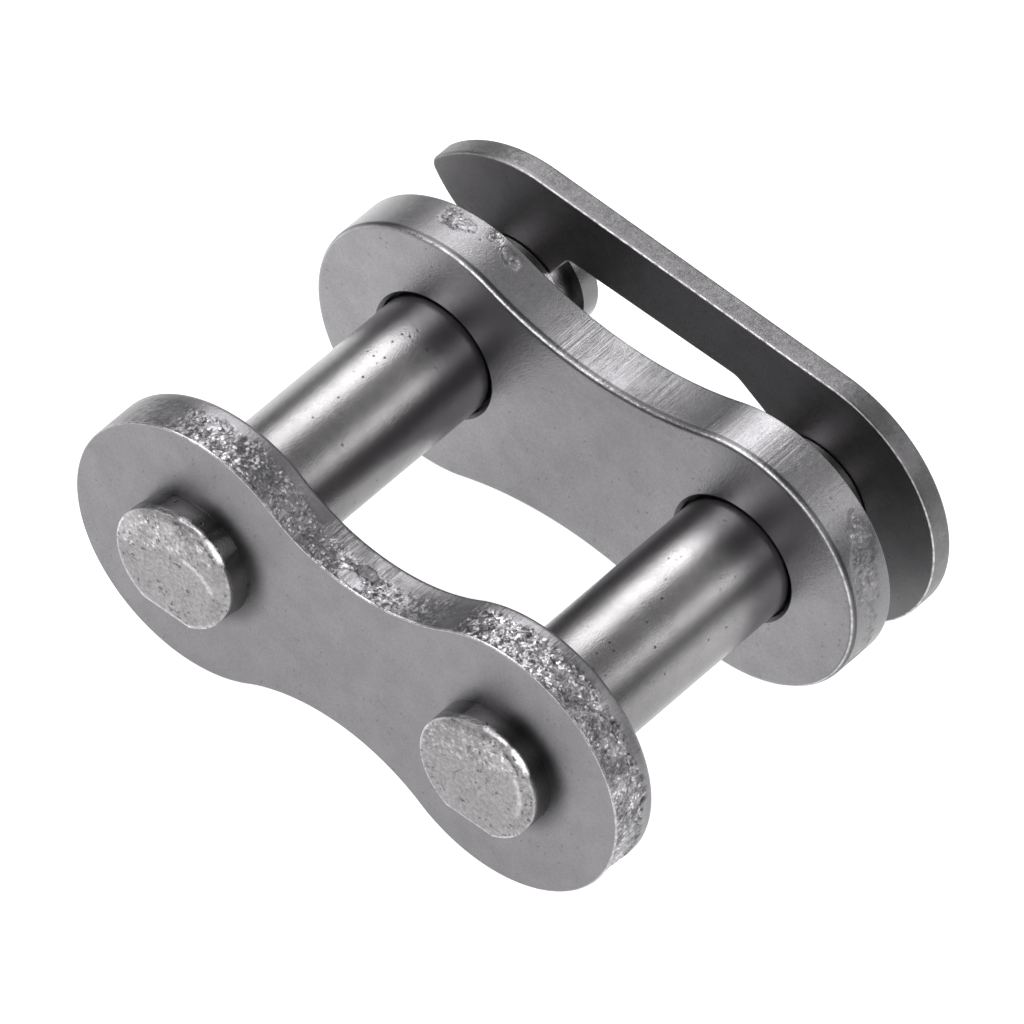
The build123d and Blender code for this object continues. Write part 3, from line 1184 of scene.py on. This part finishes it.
def pin_steel(name, colour):
    """Ground shank, with a hammered, pitted front on the head, painted shade from the shade mark,
    and a rim bright from rubbing and a painted highlight.
    """
    material, tree = started(name)
    surface = use_group(tree, skin, Mottle=0.14, Grain=0.17, Pits=0.6)
    grain = use_group(tree, torn_grain, Strength=0.65)
    speckle = use_group(tree, hammer_speckle)
    polish_and_highlight = use_group(tree, rim_polish_and_highlight, Strength=1.6, Dashes=0.3)
    hammered, front, wear_and_highlight, shade = marks(tree, "hammered", "front", "wear_and_highlight", "shade")
    # The shade mark is painted shade, multiplied into the colour.
    tone = sums(tree, "MULTIPLY", surface["Tone"], shade)
    tone = masked(
        tree, tone, (hammered, grain["Tone"]), (front, speckle["Tone"]), (wear_and_highlight, polish_and_highlight["Tone"])
    )
    heights = (
        surface["Height"],
        sums(tree, "MULTIPLY", grain["Height"], hammered),
        sums(tree, "MULTIPLY", speckle["Height"], front),
    )
    return finished(material, colour, mixed(tree, front, 0.24, 0.33), tone, heights)


def clip_steel(name, colour):
    """Dull spring strip with a grainy edge and a front rim bright from rubbing and a painted
    highlight.
    """
    material, tree = started(name)
    surface = use_group(tree, skin, Mottle=0.12, Grain=0.20, Pits=0.3)
    grain = use_group(tree, torn_grain, Strength=0.16)
    polish_and_highlight = use_group(tree, rim_polish_and_highlight, Strength=3.2, Dashes=0.8)
    edge, wear_and_highlight = marks(tree, "edge", "wear_and_highlight")
    edge_tone = sums(tree, "MULTIPLY", grain["Tone"], 0.92)
    tone = masked(tree, surface["Tone"], (edge, edge_tone), (wear_and_highlight, polish_and_highlight["Tone"]))
    heights = (surface["Height"], sums(tree, "MULTIPLY", grain["Height"], edge))
    return finished(material, colour, mixed(tree, edge, 0.34, 0.38), tone, heights)


FIXED_STEEL = (0.206, 0.200, 0.209)
LOOSE_STEEL = (0.252, 0.246, 0.256)
PIN_STEEL = (0.370, 0.361, 0.367)
CLIP_STEEL = (0.153, 0.149, 0.153)

# The fourth number sets how strong each plate's rim brightening, partly a painted highlight, is.
fixed_finish = plate_steel("tumbled_fixed_plate", FIXED_STEEL, 0.33, 1.0, (left_x, right_x))
loose_finish = plate_steel("tumbled_loose_plate", LOOSE_STEEL, 0.27, 4.0)
pin_finish = pin_steel("ground_pin", PIN_STEEL)
clip_finish = clip_steel("spring_strip", CLIP_STEEL)

# %% [markdown]
# ### Marks on the heads and the clip
# The blow left the upper part of each front hammered, and the front is a little lighter above
# that line. The rim and the rolled lips are bright, partly rubbed and partly a painted
# highlight, the fold in the metal behind them is painted dark, as shade, and so is the rolled
# upper rim. The wall behind the front is painted dark too, as shade, and so is the turned cap
# past the groove. Each front also has one faint crease across it, a light line of the same
# rubbing and painted highlight. The clip's edge is grainy, and its front rim is bright,
# partly rubbed and partly a painted highlight, most along the leg. All places are counted in
# millimetres from the pin's axis.

# %% Marks on the heads
def hammered_at(x):
    """A test for mark: 1 on the upper part of the head's front, 0 elsewhere."""

    def amount(place):
        out, up = (place.x - x) / MM, (place.z - axis_z) / MM
        above_line = up - 0.67 - 0.39 * out + 0.35 * noise(place / (0.5 * MM))
        inside_rim = hypot(out, up) < HEAD_RADIUS / MM - 0.1 and up < HEAD_FLAT / MM - 0.08
        in_front = place.y < head_front + 0.35 * MM
        return ease(-0.15, 0.15, above_line) if inside_rim and in_front else 0.0

    return amount


def head_front_at(place):
    """1 on the head's front, 0 elsewhere."""
    return 1.0 if place.y < head_front + 0.30 * MM else 0.0


def polar(out, up):
    """The distance from the middle, and the angle in degrees from +X to +Z."""
    return hypot(out, up), degrees(atan2(up, out))


def arc_line(out, up, crease):
    """1 on the crease: (centre out, centre up, radius, from angle, to angle)."""
    centre_out, centre_up, radius, from_angle, to_angle = crease
    away, turned = polar(out - centre_out, up - centre_up)
    line = ease(0.12, 0.04, abs(away - radius))
    line *= ease(from_angle - 8, from_angle + 8, turned)
    return line * ease(to_angle + 8, to_angle - 8, turned)


def head_wear_and_highlight_at(x, lean, crease):
    """A test for mark: 1 on the front's rim, on its lips and on the crease across it, which the
    finish makes bright, partly as rubbing and partly as a painted highlight.
    """

    def amount(place):
        if place.y > head_front + 0.34 * MM:
            return 0.0
        out, up = (place.x - x - lean) / MM, (place.z - axis_z) / MM
        away, turned = polar(out, up)
        rim = ease(2.22, 2.27, away) + (ease(2.03, 2.08, -up) if up < 0 else 0)
        rim *= 0.35 if turned > 155 or turned < -30 else 0.1
        right_lip = ease(36, 42, turned) * ease(63, 59, turned)
        upper_lip = ease(66, 70, turned) * ease(93, 88, turned)
        lips = ease(2.15, 2.21, away) * (right_lip + upper_lip)
        return min(rim + lips + 0.3 * arc_line(out, up, crease), 1.0)

    return amount


def painted_shading_pin_at(x, lean):
    """A test for mark: painted shade on the fold, the rolled rim, the wall and the tail, and a
    front a little lighter above the hammered line.
    """

    def amount(place):
        # Painted shade: the turned cap past the groove is darkened.
        if place.y > groove_end - 0.01 * MM:
            return 0.42
        if place.y > fixed_low.y + 0.1 * MM:
            return 1.0
        out, up = (place.x - x - lean) / MM, (place.z - axis_z) / MM
        away, turned = polar(out, up)
        # Painted shade in the fold behind the lips and on the rolled upper rim.
        fold = ease(0.07, 0.02, abs(away - 2.05)) * ease(36, 42, turned) * ease(70, 62, turned)
        rolled = ease(1.75, 2.1, away) * ease(65, 85, turned) * ease(150, 120, turned)
        front = 0.80 + 0.20 * ease(-0.2, 0.2, up - 0.39 * out - 0.67)
        front *= (1 - 0.7 * fold) * (1 - 0.4 * rolled)
        # Painted shade on the wall behind the front, a little less on its upper side.
        wall = 0.40 + 0.10 * ease(60, 85, turned)
        behind = ease(head_front + 0.28 * MM, head_front + 0.40 * MM, place.y)
        return front + (wall - front) * behind

    return amount


LEFT_CREASE = (0.60, -0.50, 1.19, 25, 105)
RIGHT_CREASE = (0.0, 0.0, 1.80, -15, 38)
for pin, x, lean, crease in (
    (left_pin, left_x, LEFT_LEAN[0], LEFT_CREASE),
    (right_pin, right_x, 0, RIGHT_CREASE),
):
    mark(pin, "hammered", hammered_at(x))
    mark(pin, "front", head_front_at)
    mark(pin, "wear_and_highlight", head_wear_and_highlight_at(x, lean, crease))
    mark(pin, "shade", painted_shading_pin_at(x, lean))

# %% Marks on the clip
# How bright the clip's front rim is along it: partly rubbing, partly a painted highlight.
CLIP_WEAR_AND_HIGHLIGHT = ((-2.0, 0.1), (0.5, 0.8), (3.0, 1.0), (12.0, 1.0), (14.0, 0.6))


def clip_edge(place):
    """1 on the clip's edge, between its rounded rims."""
    return 1.0 if clip_low.y + 0.1 * MM < place.y < clip_high.y - 0.06 * MM else 0.0


def clip_wear_and_highlight(place):
    """How bright the clip's front rim is: partly rubbed, partly a painted highlight."""
    on_rim_row = 0.003 * MM < place.y - clip_low.y < 0.04 * MM
    return between(CLIP_WEAR_AND_HIGHLIGHT, place) if on_rim_row else 0.0


mark(clip, "edge", clip_edge)
mark(clip, "wear_and_highlight", clip_wear_and_highlight)

# %% [markdown]
# ### Dress the pieces
# Each piece gets its finish, goes with the body that it belongs to, and takes the place of
# its solid. Only the loose plate moves by itself; the pins and the clip stay with the fixed
# plate.

# %% Hand the pieces over
for piece, material, body, node, slot in (
    (fixed_plate, fixed_finish, "link", "fixed_plate", "plate_steel"),
    (loose_plate, loose_finish, "loose_plate", "loose_plate", "plate_steel"),
    (left_pin, pin_finish, "link", "left_pin", "pin_steel"),
    (right_pin, pin_finish, "link", "right_pin", "pin_steel"),
    (clip, clip_finish, "link", "spring_clip", "clip_steel"),
):
    alone(piece)
    piece.data.materials.clear()
    piece.data.materials.append(material)
    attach(piece, body)
    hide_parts(node)
    piece.data.calc_loop_triangles()
    print(f"{piece.name}: {len(piece.data.loop_triangles)} triangles")

# %% [markdown]
# ## Floor, light and camera
# Polished steel shows what stands round it, so most of the picture is made here. The link
# stands on pale paper that glows white round it and less further out. The faces mirror that
# paper, so its grey sets how dark they look. Long narrow softboxes run along the pins and
# draw the bright streaks on them. A wide one behind lights the plates' edges, and a low one
# in front opens up the hammered heads. The camera stands fifty pitches away with a long
# lens, which keeps parallel edges parallel.

# %% Floor
bpy.ops.object.select_all(action="DESELECT")
bpy.ops.mesh.primitive_plane_add(size=3.0)
floor = bpy.context.object
floor.name = "floor"
paper = bpy.data.materials.new("paper_with_painted_glow")
paper.use_nodes = True
shader = paper.node_tree.nodes["Principled BSDF"]
shader.inputs["Base Color"].default_value = (0.45, 0.45, 0.45, 1)
shader.inputs["Roughness"].default_value = 1
shader.inputs["Emission Color"].default_value = (1, 1, 1, 1)
floor.data.materials.append(paper)
tree = paper.node_tree
away = length_of(tree, in_millimetres(tree))
# Painted light: the paper glows by itself though it is no lamp, brightest round the link and fading
# further out.
tree.links.new(fades(tree, away, 36, 100, 0.95, 0.45), shader.inputs["Emission Strength"])

# %% Light
world = bpy.data.worlds.new("studio")
bpy.context.scene.world = world
world.use_nodes = True
sky = world.node_tree.nodes["Background"]
sky.inputs["Color"].default_value = (1, 1, 1, 1)
sky.inputs["Strength"].default_value = 0.22


def softbox(name, direction, distance, size, radiance):
    """An area light that faces the link's middle from direction, as bright as radiance says."""
    middle = (solid_low + solid_high) / 2
    light = bpy.data.lights.new(name, "AREA")
    light.shape = "RECTANGLE"
    light.size, light.size_y = size
    light.energy = radiance * pi * size[0] * size[1]
    lamp = bpy.data.objects.new(name, light)
    bpy.context.scene.collection.objects.link(lamp)
    way = Vector(direction).normalized()
    lamp.location = middle + way * distance
    lamp.rotation_euler = (-way).to_track_quat("-Z", "Y").to_euler()
    lamp.visible_camera = False


for name, direction, distance, size, radiance in (
    ("key", (-0.568, 0.0, 0.823), 0.6, (1.3, 0.36), 3.9),
    ("second", (0.76, 0.0, 0.65), 0.6, (1.3, 0.2), 2.0),
    ("back_wall", (0.0, 0.83, 0.56), 0.9, (2.2, 1.0), 0.40),
    ("front_low", (-0.05, -0.97, 0.22), 0.6, (0.62, 0.22), 1.4),
):
    softbox(name, direction, distance, size, radiance)

# %% Camera
AZIMUTH = radians(33.998)
ELEVATION = radians(48.134)
ROLL = radians(7.708)
DISTANCE = 50 * 12.7 * MM
IMAGE = 1024  # pixels on a side
PIXELS_PER_MM = 390.83 / 12.7  # where nothing is foreshortened
AIM_PIXEL = (469.32, 551.85)  # where the aim shows, from the image's upper left corner
SENSOR = 36

aim = Vector((left_x + pitch / 2, fixed_low.y + 0.5 * pitch, axis_z))
back = Vector((sin(AZIMUTH) * cos(ELEVATION), -cos(AZIMUTH) * cos(ELEVATION), sin(ELEVATION)))
right = Vector((cos(AZIMUTH), sin(AZIMUTH), 0))
up = back.cross(right)
turned_right = right * cos(ROLL) + up * sin(ROLL)
turned_up = up * cos(ROLL) - right * sin(ROLL)
camera = bpy.data.cameras.new("camera")
camera.sensor_width = SENSOR
camera.lens = SENSOR * PIXELS_PER_MM * 1000 * DISTANCE / IMAGE
camera.clip_end = 100
camera.shift_x = (IMAGE / 2 - AIM_PIXEL[0]) / IMAGE
camera.shift_y = (AIM_PIXEL[1] - IMAGE / 2) / IMAGE
camera_object = bpy.data.objects.new("camera", camera)
bpy.context.scene.collection.objects.link(camera_object)
turn = Matrix((turned_right, turned_up, back)).transposed().to_4x4()
camera_object.matrix_world = Matrix.Translation(aim + back * DISTANCE) @ turn
bpy.context.scene.camera = camera_object
bpy.context.scene.view_settings.view_transform = "Standard"
